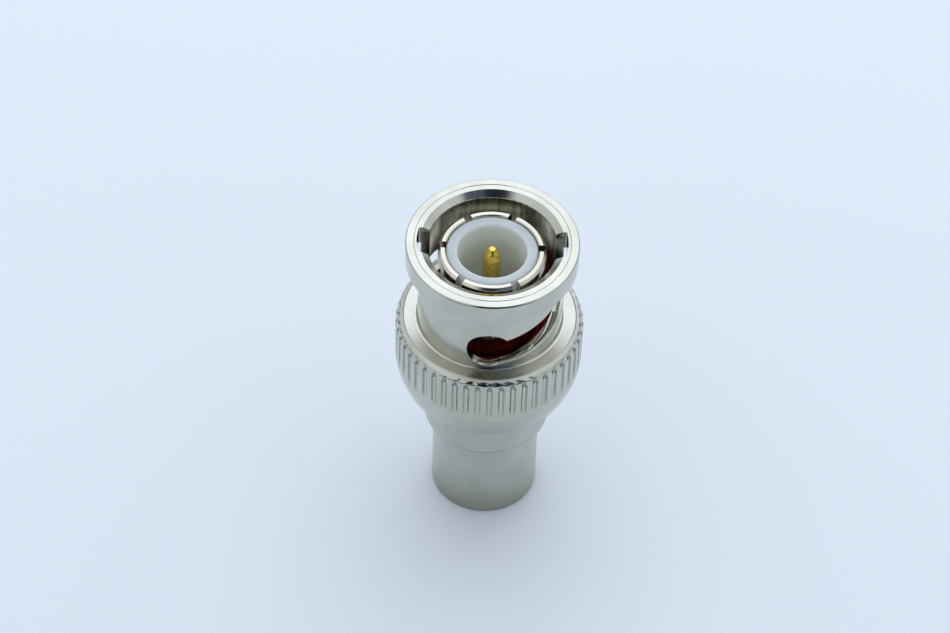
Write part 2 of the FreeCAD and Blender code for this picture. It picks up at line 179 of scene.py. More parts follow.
def buildTurned(name, outline, columns=256, longest=0.6):
    # a closed outline of (radius, height) points turned round the axis
    return buildPiece(name, [(turnedGrid(divided(outline, longest), columns), True, True, None)])


def place(piece, body, node, slot, material):
    # the piece rides on its body, stands for its CAD node and takes the given material
    # slot is not used
    piece.data.materials.clear()
    piece.data.materials.append(material)
    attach(piece, body)
    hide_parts(node)


# Shader maths

class Wire:
    # one output socket; sums, differences and products of wires add Math or Vector Math nodes
    def __init__(self, socket):
        self.socket = socket

    @staticmethod
    def node(tree, kind, settings=None, inputs=None, output=0):
        # any node, by its type, its settings, and the values or wires of its sockets
        made = tree.nodes.new(kind)
        for key, setting in (settings or {}).items():
            setattr(made, key, setting)
        for key, content in (inputs or {}).items():
            if isinstance(content, Wire):
                tree.links.new(content.socket, made.inputs[key])
            else:
                made.inputs[key].default_value = content
        return Wire(made.outputs[output])

    def isVector(self):
        return self.socket.type in ("VECTOR", "RGBA")

    def combine(self, operation, first, second):
        wires = [content for content in (first, second) if isinstance(content, Wire)]
        vector = any(wire.isVector() for wire in wires)
        kind = "ShaderNodeVectorMath" if vector else "ShaderNodeMath"
        contents = {}
        for key, content in enumerate((first, second)):
            number = not isinstance(content, (Wire, tuple))
            contents[key] = (content,) * 3 if vector and number else content
        return Wire.node(self.socket.id_data, kind, {"operation": operation}, contents)

    def __add__(self, other):
        return self.combine("ADD", self, other)

    __radd__ = __add__

    def __sub__(self, other):
        return self.combine("SUBTRACT", self, other)

    def __rsub__(self, other):
        return self.combine("SUBTRACT", other, self)

    def __mul__(self, other):
        return self.combine("MULTIPLY", self, other)

    __rmul__ = __mul__

    def math(self, operation, *others):
        inputs = dict(enumerate((self, *others)))
        return Wire.node(self.socket.id_data, "ShaderNodeMath", {"operation": operation}, inputs)

    def between(self, low, high):
        # 0 below low, 1 above high, smooth in between
        settings = {"interpolation_type": "SMOOTHSTEP"}
        inputs = {"Value": self, "From Min": low, "From Max": high}
        return Wire.node(self.socket.id_data, "ShaderNodeMapRange", settings, inputs)

    def band(self, start, full, fade, end):
        # 0 up to start, 1 from full to fade and 0 from end on, smooth in between; None leaves a side open
        rise = 1 if full is None else self.between(start, full)
        fall = 1 if fade is None else 1 - self.between(fade, end)
        return rise * fall

    def mixed(self, low, high):
        # a colour between two, by this wire
        low, high = (tone if isinstance(tone, Wire) else (*tone, 1) for tone in (low, high))
        inputs = {0: self, 6: low, 7: high}
        return Wire.node(self.socket.id_data, "ShaderNodeMix", {"data_type": "RGBA"}, inputs, 2)


def newMaterial(name, fixed):
    # a new material and its principled shader, whose constants are set on its own sockets
    material = bpy.data.materials.new(name)
    material.use_nodes = True
    tree = material.node_tree
    shader = next(node for node in tree.nodes if node.type == "BSDF_PRINCIPLED")
    for key, constant in fixed.items():
        shader.inputs[key].default_value = constant
    return material, tree, shader


def feed(tree, shader, **wires):
    # link wires to the shader's sockets, with underscores for the spaces in their names
    for key, wire in wires.items():
        tree.links.new(wire.socket, shader.inputs[key.replace("_", " ")])


def objectPoint(tree):
    # the surface point in millimetres
    return Wire.node(tree, "ShaderNodeTexCoord", output=3) * (1 / mm)


def vectorOf(tree, *axes):
    return Wire.node(tree, "ShaderNodeCombineXYZ", inputs=dict(enumerate(axes)))


def axesOf(tree, vector):
    split = Wire.node(tree, "ShaderNodeSeparateXYZ", inputs={0: vector}).socket.node
    return [Wire(split.outputs[k]) for k in range(3)]


def aroundAxis(tree, point):
    # a point's radius, height and azimuth
    x, y, z = axesOf(tree, point)
    return (x * x + y * y).math("SQRT"), z, y.math("ARCTAN2", x)


def inPlace(surface, across, along=None):
    # 1 at a place on a turned piece and 0 elsewhere, from its band of radius and its band of height
    mask = surface["radius"].band(*across)
    return mask * surface["height"].band(*along) if along else mask


def noise(tree, vector, scale, detail, roughness):
    inputs = {"Vector": vector, "Scale": scale, "Detail": detail, "Roughness": roughness}
    return Wire.node(tree, "ShaderNodeTexNoise", None, inputs)


def bumped(tree, height, distance):
    return Wire.node(tree, "ShaderNodeBump", None, {"Height": height, "Distance": distance})


nickelLook = {
    "lightTone": (0.60, 0.595, 0.525),
    "darkTone": (0.52, 0.515, 0.445),
    "smudgeEdge": (0.3, 0.72),
    "smudgeScale": 0.35,
    "roughness": 0.09,
    "smudgeRough": 0.08,
    "lineRough": 0.05,
    "lineDepth": 0.0008,
    "toolLines": 7.0,
    "toolSlant": 1.3,
    "grainScale": 9.0,
    "grainDepth": 0.0004,
    # the pits' colour, also used for painted shade in hollows and at feet
    "pitTone": (0.20, 0.18, 0.14),
    "pitScale": 1.6,
    "pitSize": (0.02, 0.05),
    "pitGroups": (0.56, 0.62),
    "groupScale": 0.9,
    "pitShare": 0.75,
    "pitRough": 0.3,
    "pitDepth": 0.008,
}


def turnedMetal(name, look, marksAndShade=None):
    # plated turned metal: fine tool lines round the axis, soft smudges and groups of small pits;
    # the last argument adds one piece's own marks and its painted shade to the tone and the roughness
    material, tree, shader = newMaterial(name, {"Metallic": 1.0, "IOR": 1.5})
    point = objectPoint(tree)
    radius, height, turn = aroundAxis(tree, point)
    toolAxes = radius * look["toolLines"], height * look["toolLines"], turn * look["toolSlant"]
    lines = noise(tree, vectorOf(tree, *toolAxes), 1.0, detail=3.0, roughness=0.6)
    smudges = noise(tree, point, look["smudgeScale"], detail=3.0, roughness=0.55)
    grain = noise(tree, point, look["grainScale"], detail=2.0, roughness=0.6)
    cells = Wire.node(tree, "ShaderNodeTexVoronoi", None, {"Vector": point, "Scale": look["pitScale"]})
    groups = noise(tree, point, look["groupScale"], detail=1.0, roughness=0.5).between(*look["pitGroups"])
    pits = (1 - cells.between(*look["pitSize"])) * groups
    tone = smudges.between(*look["smudgeEdge"]).mixed(look["darkTone"], look["lightTone"])
    tone = (pits * look["pitShare"]).mixed(tone, look["pitTone"])
    rough = look["roughness"] + smudges * look["smudgeRough"] + lines * look["lineRough"]
    rough = rough + pits * look["pitRough"]
    if marksAndShade:
        surface = {"tree": tree, "radius": radius, "height": height, "turn": turn, "smudges": smudges}
        tone, rough = marksAndShade(look, surface, tone, rough)
    relief = lines * look["lineDepth"] + grain * look["grainDepth"] - pits * look["pitDepth"]
    feed(tree, shader, Base_Color=tone, Roughness=rough, Normal=bumped(tree, relief, mm))
    return material


springLook = dict(nickelLook, lightTone=(0.55, 0.55, 0.55), darkTone=(0.45, 0.45, 0.45), roughness=0.3)
springMetal = turnedMetal("springSteel", springLook)

goldLook = {
    "light": (0.86, 0.65, 0.15),
    "dark": (0.62, 0.42, 0.06),
    "spread": (0.35, 0.65),
    "grainScale": 5.5,
    "grainDepth": 0.002,
    "noseDepth": 0.012,
    "noseReach": (1.2, 0.8),
    "roughness": 0.2,
    "grainRough": 0.12,
}


def goldPlate(look):
    # gold over brass, with a grainy bright nose
    material, tree, shader = newMaterial("goldPlate", {"Metallic": 1.0})
    point = objectPoint(tree)
    grain = noise(tree, point, look["grainScale"], detail=3.0, roughness=0.6)
    noseLow, noseFull = look["noseReach"]
    nose = axesOf(tree, point)[2].between(pinTop - noseLow, pinTop - noseFull)
    tone = grain.between(*look["spread"]).mixed(look["dark"], look["light"])
    relief = grain * (nose * look["noseDepth"] + look["grainDepth"])
    rough = look["roughness"] + grain * look["grainRough"]
    feed(tree, shader, Base_Color=tone, Roughness=rough, Normal=bumped(tree, relief, mm))
    return material


plasticLook = {
    "pale": (0.55, 0.60, 0.61),
    "shade": (0.49, 0.535, 0.55),
    # painted light: paler tones for the bore and for the cup's outer side
    "inside": (0.78, 0.815, 0.77),
    "side": (0.95, 0.97, 0.96),
    "spread": (0.3, 0.7),
    "insideEdge": (2.5, 2.95),
    "sideSkin": (0.08, 0.02),
    "sideTop": (0.2, 0.1),
    "cloudScale": 0.8,
    "grainScale": 7.0,
    "grainDepth": 0.006,
    "roughness": 0.3,
    "grainRough": 0.12,
    "scatter": 0.8,
    "scatterReach": 0.0016,
}


def milkyPlastic(name, look):
    # milky moulded plastic: light gets a little way in, the surface is faintly mottled, and the bore and
    # the cup's outer side are painted paler than its face, as painted light where they lie in shade
    fixed = {"Subsurface Weight": look["scatter"], "Subsurface Scale": look["scatterReach"], "IOR": 1.45}
    material, tree, shader = newMaterial(name, dict(fixed, **{"Subsurface Radius": (1.0, 1.0, 1.0)}))
    point = objectPoint(tree)
    radius, height = aroundAxis(tree, point)[:2]
    cloud = noise(tree, point, look["cloudScale"], detail=3.0, roughness=0.55).between(*look["spread"])
    grain = noise(tree, point, look["grainScale"], detail=2.0, roughness=0.5)
    face = radius.between(*look["insideEdge"])
    # painted light: the bore gets a paler tone than the face
    tone = face.mixed(look["inside"], cloud.mixed(look["shade"], look["pale"]))
    across = [cupRadius - step for step in look["sideSkin"]]
    along = [cupTop - step for step in look["sideTop"]]
    # painted light: the cup's outer side below its rim gets a near-white tone
    paintedLightSide = radius.between(*across) * (1 - height.between(*along))
    tone = paintedLightSide.mixed(tone, look["side"])
    rough = look["roughness"] + grain * look["grainRough"]
    feed(tree, shader, Base_Color=tone, Roughness=rough, Normal=bumped(tree, grain, mm * look["grainDepth"]))
    return material


rubberLook = {
    "deep": (0.50, 0.014, 0.02),
    "bright": (0.80, 0.035, 0.045),
    "spread": (0.3, 0.7),
    "cloudScale": 1.1,
    "grainScale": 12.0,
    "grainDepth": 0.01,
    "roughness": 0.34,
    "grainRough": 0.15,
}


def redRubber(look):
    # dark red silicone with a fine dry grain
    material, tree, shader = newMaterial("redSilicone", {"IOR": 1.42})
    point = objectPoint(tree)
    cloud = noise(tree, point, look["cloudScale"], detail=3.0, roughness=0.6)
    grain = noise(tree, point, look["grainScale"], detail=2.0, roughness=0.5)
    tone = cloud.between(*look["spread"]).mixed(look["deep"], look["bright"])
    rough = look["roughness"] + grain * look["grainRough"]
    feed(tree, shader, Base_Color=tone, Roughness=rough, Normal=bumped(tree, grain, mm * look["grainDepth"]))
    return material


goldMetal = goldPlate(goldLook)
cupPlastic = milkyPlastic("milkyCup", plasticLook)
sleevePlastic = milkyPlastic("milkySleeve", plasticLook)
gasketRubber = redRubber(rubberLook)
print("stage: shared materials made")


# Coupling nut

nutSizes = {
    "flutes": 50,
    "fluteTurn": -2.1,
    "fluteWidth": 0.52,
    "fluteDepth": 0.15,
    "fluteFade": 0.6,
    # a flute's section: how deep it is, as a share, at each spot in half widths from its middle
    "fluteSpots": (0, 0.3, 0.42, 0.95, 1, 1.12),
    "fluteShares": (0.98, 1, 0.92, 0.08, 0, 0),
    "domeInset": 0.06,
    "domeReach": 0.17,
    "domePower": 1.15,
    "slopeTilt": 24,
    "bore": 4.9,
    "barrel": 5.58,
    "barrelFoot": 0.18,
    "footRun": 0.05,
    "rim": 6.59,
    "rimHeight": 1.73,
    "rimRound": 0.16,
    "rimLowRound": 0.05,
    "crease": 5.92,
    "creaseHalf": 0.035,
    "creaseDepth": 0.03,
    "mouth": 5.45,
    "mouthDepth": 0.34,
    "mouthRound": 0.04,
    "ringHeight": 6.5,
    "ringFace": 6.7,
    "ringFlat": 0.25,
    "ringShoulder": 7.1,
    "faceDrop": 0.005,
    "edgeLine": 0.09,
    "slopeHeight": 0.28,
    "shoulderHeight": 0.48,
    "shoulderRound": 0.05,
    "landRun": 0.1,
    "landGap": 0.04,
    "tailHeight": 2.3,
    "tail": 6.74,
    "tailBow": 0.1,
    "tailRound": 0.25,
    "webBore": 4.06,
    "webThickness": 1.3,
    "webRound": 0.05,
    "innerRound": 0.1,
    "longRun": 0.3,
    "shortRun": 0.02,
    "channelHalf": 1.25,
    "channelRadius": 5.72,
    "rampHeight": 2.35,
    "rampFall": 2.35,
    "detentRadius": 1.7,
    "detentDepth": 6.15,
    "detentRise": 0.5,
    "slotRound": 0.07,
    "slotOpening": 0.3,
}
nutLook = dict(nickelLook, **{
    "roughness": 0.055,
    "smudgeRough": 0.07,
    "wallRough": 0.12,
    "ringRough": 0.17,
    # streaks in the bore, partly painted shade
    "streakTone": (0.27, 0.26, 0.2),
    "streakScale": (9.0, 0.2, 0.22),
    "streakEdge": (0.42, 0.62),
    "streakShare": 0.75,
    # painted shade on the sides of the channels, of the rim over them and of the slots
    "sideTone": (0.12, 0.11, 0.085),
    "sideLeast": 0.6,
    "sideSwing": 0.5,
    "slotShare": 0.35,
    # painted shade on the flutes' walls
    "grimeLeast": 0.25,
    "grimeSwing": 0.5,
    # painted shade round the nut's foot
    "footShare": 0.7,
})


def nutPlaces(size):
    # where the finish differs or shade is painted: each place's four edges of a band of radius, and of a
    # band of height
    bore, barrel, channel = size["bore"], size["barrel"], size["channelRadius"]
    face, tail = size["ringFace"], size["tail"]
    rimLow, ringTop = nutTop - size["rimHeight"], nutLow + size["ringHeight"]
    landTop = ringTop - size["slopeHeight"] - size["shoulderHeight"]
    fadeTop = nutLow + size["tailHeight"] + size["fluteFade"]
    bottom = nutRadius - size["fluteDepth"]
    wall = (bore + 0.03, bore + 0.08, barrel - 0.1, barrel - 0.05)
    return {
        "bore": [(None, None, bore + 0.02, bore + 0.06)],
        "barrel": [(barrel - 0.08, barrel - 0.03, barrel + 0.03, barrel + 0.08),
                   (ringTop + 0.1, ringTop + 0.2, rimLow - 0.17, rimLow - 0.02)],
        "ringFace": [(barrel + 0.14, barrel + 0.22, face + 0.15, face + 0.25),
                     (ringTop - 0.4, ringTop - 0.3, ringTop + 1, ringTop + 1.3)],
        # the flutes' walls, the channels', rim's and slots' sides and the foot are where shade is painted
        "fluteWalls": [(bottom + 0.002, bottom + 0.02, nutRadius - 0.03, nutRadius - 0.004),
                       (fadeTop - 0.4, fadeTop + 0.3, landTop - 0.1, landTop)],
        "channelSides": [wall, (nutTop - 3.2, nutTop - 2.8, nutTop - 0.55, nutTop - 0.45)],
        "rimSides": [(channel - 0.25, channel - 0.22, channel - 0.06, channel - 0.02),
                     (rimLow + 0.02, rimLow + 0.06, nutTop - 0.1, nutTop - 0.04)],
        "slotSides": [wall, (None, None, nutTop - 3.3, nutTop - 3.2)],
        "foot": [(tail - 0.34, tail - 0.24, None, None), (None, None, nutLow + 0.14, nutLow + 0.26)],
    }


def nutWearAndShade(look, surface, tone, rough):
    # the tool left the bore, the barrel's outside and the ring's face duller, the bore with streaks up and
    # down that are partly painted shade; painted shade darkens the walls of the flutes, the channels and the
    # slots, and round the foot
    at = {place: inPlace(surface, *bands) for place, bands in nutPlaces(nutSizes).items()}
    rough = rough + (at["bore"] + at["barrel"]) * look["wallRough"] + at["ringFace"] * look["ringRough"]
    axes = [surface[key] * scale for key, scale in zip(("turn", "radius", "height"), look["streakScale"])]
    streaks = noise(surface["tree"], vectorOf(surface["tree"], *axes), 1.0, detail=4.0, roughness=0.65)
    # the bore's dark streaks are partly real streaks and partly painted shade
    streaked = streaks.between(*look["streakEdge"]) * at["bore"] * look["streakShare"]
    tone = streaked.mixed(tone, look["streakTone"])
    # painted shade: the flutes' walls are darkened towards the pit colour
    paintedShade = at["fluteWalls"] * (surface["smudges"] * look["grimeSwing"] + look["grimeLeast"])
    tone = paintedShade.mixed(tone, look["pitTone"])
    # painted shade: the channels' and rim's sides, and more lightly the slots' sides, are darkened
    sides = at["channelSides"] + at["rimSides"] + at["slotSides"] * look["slotShare"]
    tone = (sides * (streaks * look["sideSwing"] + look["sideLeast"])).mixed(tone, look["sideTone"])
    # painted shade: the nut's foot is darkened towards the pit colour
    tone = (at["foot"] * look["footShare"]).mixed(tone, look["pitTone"])
    return tone, rough


def nutColumns(size):
    # azimuths in degrees at the same spots of every flute, the ones nearest to a slot's edge moved onto it
    pitch = 360 / size["flutes"]
    halfWidth = math.degrees(size["fluteWidth"] / 2 / nutRadius)
    spots = np.array(size["fluteSpots"]) * halfWidth
    spots = np.concatenate([-spots[:0:-1], spots, [pitch / 2]]) + size["fluteTurn"]
    turn = np.sort((np.arange(size["flutes"])[:, None] * pitch + spots).ravel() % 360)
    channel = math.degrees(math.asin(size["channelHalf"] / size["barrel"]))
    detent = math.degrees(math.asin(size["detentRadius"] / size["barrel"]))
    for edge in (channel, -channel, -90 - detent, -90 + detent, -90):
        for half in (0, 180):
            away = np.abs((turn - edge - half + 180) % 360 - 180)
            turn[np.argmin(away)] = (edge + half) % 360
    return turn, channel, detent


def fromChannel(turn):
    # azimuth from the middle of an entry channel, from -135 to 45, because the slots repeat each half turn
    return (turn + 135) % 180 - 135


def slotShift(turn, radius, size, channel, detent):
    # how far the slot edges stand round at another radius, because the cuts have parallel sides:
    # the difference of two arcsines, faded out between the edges
    near = fromChannel(turn)
    at = [-135, -90 - detent, -90, -90 + detent, -45, -channel, 0, channel, 45]
    byDetent = np.interp(near, at, [0, 1, 0, -1, 0, 0, 0, 0, 0])
    byChannel = np.interp(near, at, [0, 0, 0, 0, 0, 1, 0, -1, 0])
    reach = np.maximum(radius, size["bore"])
    detentHere = np.degrees(np.arcsin(size["detentRadius"] / reach))
    channelHere = np.degrees(np.arcsin(size["channelHalf"] / reach))
    return byDetent[:, None] * (detent - detentHere) + byChannel[:, None] * (channel - channelHere)


def slotEdges(turn, size, channel, detent):
    # low and high edge of the slot at each azimuth: a falling ramp joined to a round detent;
    # where the wall is whole both are the height of a seam between the two
    near = fromChannel(turn)
    detentLevel = nutTop - size["detentDepth"]
    rampStart = detentLevel - size["detentRise"] + size["rampFall"]
    middle = rampStart + size["rampFall"] * np.minimum(near, 0) / 90
    inRamp = (near >= -90 - tiny) & (near < channel - tiny)
    across = size["barrel"] * np.sin(np.radians(near + 90))
    inDetent = np.abs(near + 90) <= detent + tiny
    half = np.sqrt(np.maximum(size["detentRadius"] ** 2 - across ** 2, 0))
    rampLow, rampHigh = middle - size["rampHeight"] / 2, middle + size["rampHeight"] / 2
    floor = rampStart - size["rampHeight"] / 2
    seam = np.interp(near % 180, [channel, 90 - detent], [floor, detentLevel])
    low = np.where(inRamp, rampLow, seam)
    high = np.where(inRamp, rampHigh, seam)
    detentLow, detentHigh = detentLevel - half, detentLevel + half
    low = np.where(inDetent, np.where(inRamp, np.minimum(rampLow, detentLow), detentLow), low)
    high = np.where(inDetent, np.where(inRamp, np.maximum(rampHigh, detentHigh), detentHigh), high)
    return low, high


def fluteCut(turn, size):
    # how far each azimuth lies below the lands, by the flute's section, and how far it is towards a land's
    # middle, as a share from 0 in the flute to 1: the square of a sine
    pitch = 360 / size["flutes"]
    off = np.abs((turn - size["fluteTurn"] + pitch / 2) % pitch - pitch / 2)
    across = np.radians(off) * nutRadius / (size["fluteWidth"] / 2)
    cut = size["fluteDepth"] * np.interp(across, size["fluteSpots"], size["fluteShares"])
    return cut, np.sin(np.pi / 2 * np.clip(2 * off / pitch, 0, 1)) ** 2


def levelRows(outline, level):
    # a run of (radius, height) points as rows that are the same at every azimuth
    return [(radius * level, height * level) for radius, height in outline]


def upperRows(size, high, opening):
    # rows of the wall above the slot, from the bore's edge out, up the barrel and rim, and back down the
    # bore: each row is (radius, height by column)
    soft = size["slotRound"] * opening
    bore, barrel, rim = size["bore"], size["barrel"], size["rim"]
    top, rimLow, cone = nutTop, nutTop - size["rimHeight"], nutTop - size["mouthDepth"]
    crease, half = size["crease"], size["creaseHalf"]
    outline = softOutline([
        (barrel, rimLow - size["longRun"]),
        (barrel, rimLow, size["innerRound"]),
        (size["channelRadius"], rimLow),
        (rim, rimLow, size["rimLowRound"]),
        (rim, top, size["rimRound"]),
        (crease + half, top),
        (crease, top - size["creaseDepth"]),
        (crease - half, top),
        (size["channelRadius"], top),
        (size["mouth"], top, size["mouthRound"]),
        (bore, cone, size["innerRound"]),
        (bore, cone - size["longRun"]),
    ], steps=6)
    level = np.ones_like(high)
    # the slot's edge is bevelled in two steps outside and in one step inside
    rows = [(bore + soft * 0.5, high), (barrel - soft, high), (barrel - soft * 0.3, high + soft * 0.3)]
    start = high + soft
    rows += [(barrel * level, start + (outline[0, 1] - start) * part) for part in (0, 0.05, 0.35, 0.7)]
    rows += levelRows(outline, level)
    start, finish = outline[-1, 1], high + soft * 0.5
    rows += [(bore * level, start + (finish - start) * part) for part in (0.3, 0.65, 1)]
    return rows


def ringRows(size, toLand, level):
    # rows out over the ring's face, with a fine line just inside its edge, and down its slope: nearly level
    # at first, then bent down in a dome at each land, with the bend's radius by azimuth
    face, shoulder = size["ringFace"], size["ringShoulder"]
    ringTop = nutLow + size["ringHeight"]
    flat, edge, line = face - size["ringFlat"], ringTop - size["faceDrop"], size["edgeLine"]
    rows = levelRows([(flat, ringTop), (face - line, ringTop)], level)
    rows += levelRows([(face - 0.2 * line, ringTop - 0.7 * line), (face, edge)], level)
    bend = shoulder - size["domeInset"] - size["domeReach"] * toLand
    bendHeight = edge - (bend - face) * math.tan(math.radians(size["slopeTilt"]))
    for part in (0.08, 0.5, 0.9):
        rows.append((face + (bend - face) * part, edge + (bendHeight - edge) * part))
    drop = ringTop - size["slopeHeight"] - bendHeight
    for part in (0.1, 0.35, 0.65, 0.9):
        rows.append((bend + (shoulder - bend) * part, bendHeight + drop * part ** size["domePower"]))
    return rows


def gripRows(size, cut, level):
    # rows down the lands and flutes: the crown stops where it meets the flute, the flute goes straight down
    # from there, and its bottom rises to the surface by a smooth step
    shoulder, slopeLow = size["ringShoulder"], nutLow + size["ringHeight"] - size["slopeHeight"]
    landTop = slopeLow - size["shoulderHeight"]
    flute = nutRadius - cut
    run = size["shortRun"]
    crown = softOutline([
        (shoulder, slopeLow),
        (shoulder + run, slopeLow - run * size["shoulderHeight"] / (nutRadius - shoulder)),
        (nutRadius, landTop, size["shoulderRound"]),
        (nutRadius, landTop - size["landRun"]),
    ], steps=5)
    lands = crown[:, 0] <= nutRadius - tiny
    meet = np.where(cut > 0, np.interp(flute, crown[lands, 0], crown[lands, 1]), landTop)
    rows = []
    for radius, height in crown:
        lowered = np.where(radius <= flute, height, np.minimum(height, meet))
        rows.append((np.minimum(radius, flute), lowered))
    fadeTop = nutLow + size["tailHeight"] + size["fluteFade"]
    start = np.where(cut > 0, meet, crown[-1, 1]) - size["landGap"]
    rows += [(flute, start + (fadeTop - start) * part) for part in (0, 0.5, 1)]
    for part in np.linspace(0, 1, 9)[1:]:
        left = np.maximum(cut - size["fluteDepth"] * (3 - 2 * part) * part ** 2, 0)
        rows.append((nutRadius - left, (fadeTop - size["fluteFade"] * part) * level))
    return rows


def lowerRows(size, turn, low, opening):
    # rows of the wall below the slot, from the bore's edge out, down the barrel, ring and tail,
    # across the rear face, and up the web and the bore; the tail bows out by a parabola
    soft = size["slotRound"] * opening
    bore, barrel, tail = size["bore"], size["barrel"], size["tail"]
    ringTop, tailTop = nutLow + size["ringHeight"], nutLow + size["tailHeight"]
    level = np.ones_like(low)
    cut, toLand = fluteCut(turn, size)
    rows = [(bore + soft * 0.5, low), (barrel - soft, low), (barrel - soft * 0.3, low - soft * 0.3)]
    foot = ringTop + size["barrelFoot"] + size["footRun"]
    rows += [(barrel * level, low - soft + (foot - low + soft) * part) for part in (0, 0.5, 0.95)]
    flat = size["ringFace"] - size["ringFlat"]
    base = softOutline([(barrel, foot), (barrel, ringTop, size["barrelFoot"]), (flat, ringTop)], steps=6)
    rows += levelRows(base[:-1], level)
    rows += ringRows(size, toLand, level)
    rows += gripRows(size, cut, level)
    part = np.linspace(0, 1, 12)[1:-1]
    tailFoot = nutLow + size["tailRound"]
    bow = nutRadius + (tail - nutRadius) * part + size["tailBow"] * 4 * part * (1 - part)
    rows += levelRows(np.stack([bow, tailTop + (tailFoot - tailTop) * part], 1), level)
    web = nutLow + size["webThickness"]
    rear = softOutline([
        (tail, tailFoot + size["shortRun"]),
        (tail, nutLow, size["tailRound"]),
        (size["webBore"], nutLow, size["webRound"]),
        (size["webBore"], web, size["webRound"]),
        (bore, web, size["innerRound"]),
        (bore, web + size["longRun"]),
    ], steps=6)
    rows += levelRows(rear, level)
    start, finish = rear[-1, 1], low - soft * 0.5
    rows += [(bore * level, start + (finish - start) * part) for part in (0.35, 0.7, 1)]
    return rows


def stackRows(rows, turn, size, channel, detent):
    # rows of (radius, height) by column made into a grid; points at the slots move onto their parallel sides
    radius = np.stack([row[0] + 0 * turn for row in rows], 1)
    height = np.stack([row[1] + 0 * turn for row in rows], 1)
    shift = slotShift(turn, radius, size, channel, detent)
    degrees = turn[:, None] + np.where(radius <= size["channelRadius"] + tiny, shift, 0)
    return polarGrid(radius, degrees, height)


def makeNut(size):
    # two grids round the axis, above and below the slots, welded where the wall is whole;
    # in the entry channels only the rim stays above, and flat walls close the channels' sides
    turn, channel, detent = nutColumns(size)
    low, high = slotEdges(turn, size, channel, detent)
    near = fromChannel(turn)
    opening = np.clip((high - low) / size["slotOpening"], 0, 1)
    inChannel = np.abs(near) < channel - tiny
    edge = np.abs(np.abs(near) - channel) < tiny
    openLow = np.where(inChannel, 1.0, np.where(edge & (near > 0), 0.0, opening))
    upper = stackRows(upperRows(size, high, opening), turn, size, channel, detent)
    lower = stackRows(lowerRows(size, turn, low, openLow), turn, size, channel, detent)
    # cells are kept or dropped by their middle azimuth; where it wraps from 45 to -135 the wall is whole
    nextNear = np.roll(near, -1)
    middle = np.where(nextNear < near, near + 0.01, (near + nextNear) / 2)
    solidCell = ~((np.abs(middle) < channel) | ((middle > -90 - detent) & (middle < channel)))
    channelCell = np.abs(middle) < channel
    radii = np.hypot(upper[0, :, 0], upper[0, :, 1])
    rimRows = np.flatnonzero(radii >= size["channelRadius"] - tiny)
    keepUpper = np.ones((len(turn), upper.shape[1]), bool)
    keepUpper[channelCell] = False
    keepUpper[solidCell, 0] = False
    keepLower = np.ones((len(turn), lower.shape[1]), bool)
    keepLower[solidCell, 0] = False
    keepRim = np.zeros((len(turn), len(rimRows)), bool)
    keepRim[channelCell] = True
    inner = np.concatenate([np.arange(rimRows[-1], upper.shape[1]), np.arange(0, rimRows[0] + 1)])
    walls = [upper[column, inner] for column in np.flatnonzero(edge)]
    grids = [
        (upper, True, True, keepUpper),
        (lower, True, True, keepLower),
        (upper[:, rimRows], True, True, keepRim),
    ]
    return buildPiece("nickelCouplingNut", grids, walls)


nutMetal = turnedMetal("satinNutNickel", nutLook, nutWearAndShade)
couplingNut = makeNut(nutSizes)
place(couplingNut, "coupling_nut", "coupling_nut", "nut_nickel", nutMetal)


# Plug contact with its spring fingers

fingerSizes = {
    "count": 6,
    "turn": -0.5,
    "shiftBack": 0.32,
    "shiftLeft": 0.32,
    "slot": 0.62,
    "slotLength": 6.1,
    "columns": 36,
    "tube": 3.86,
    "bore": 3.52,
    "faceInner": 3.6,
    "faceOuter": 3.88,
    "faceRound": 0.05,
    "bevelHeight": 0.08,
    "bulge": 4.11,
    "bulgeRound": 0.3,
    "nose": 0.15,
    "noseRound": 0.08,
    "bulgeLength": 0.65,
    "taper": 1.1,
    "taperRound": 0.6,
    "flangeThickness": 0.7,
    "flangeRound": 0.05,
    "neck": 4.0,
    "spigot": 3.9,
    "spigotRound": 0.1,
    "spigotLength": 3.2,
    "shellBore": 3.3,
    "seatBore": 2.74,
    "seatThickness": 1.2,
}
contactLook = dict(nickelLook, **{
    "lightTone": (0.66, 0.63, 0.54),
    "darkTone": (0.56, 0.53, 0.43),
    # painted shade on the fingers' outside
    "outsideTone": (0.17, 0.16, 0.1),
    "outsideSkin": (0.14, 0.09),
    "tipReach": (0.35, 0.2),
    "outsideLeast": 0.55,
    "outsideSwing": 0.5,
})


def contactPaintedShade(look, surface, tone, rough):
    # painted shade: the fingers are painted dark outside, below their tips
    across = [fingerSizes["bulge"] - step for step in look["outsideSkin"]]
    along = [contactTop - step for step in look["tipReach"]]
    outsideShade = surface["radius"].between(*across) * (1 - surface["height"].between(*along))
    outsideShade = outsideShade * (surface["smudges"] * look["outsideSwing"] + look["outsideLeast"])
    return outsideShade.mixed(tone, look["outsideTone"]), rough


def slotLines(size):
    # each saw slot's direction in degrees and the offsets of its two sides from the axis
    lines = []
    for k in range(size["count"]):
        direction = math.radians(size["turn"] + k * 360 / size["count"])
        off = size["shiftBack"] * math.cos(direction) + size["shiftLeft"] * math.sin(direction)
        lines.append((math.degrees(direction), off - size["slot"] / 2, off + size["slot"] / 2))
    return lines


def sideTurn(direction, offset, radius):
    # azimuth, at a radius, of a slot's side that runs parallel to the slot's own direction: an arcsine
    return direction + np.degrees(np.arcsin(offset / radius))


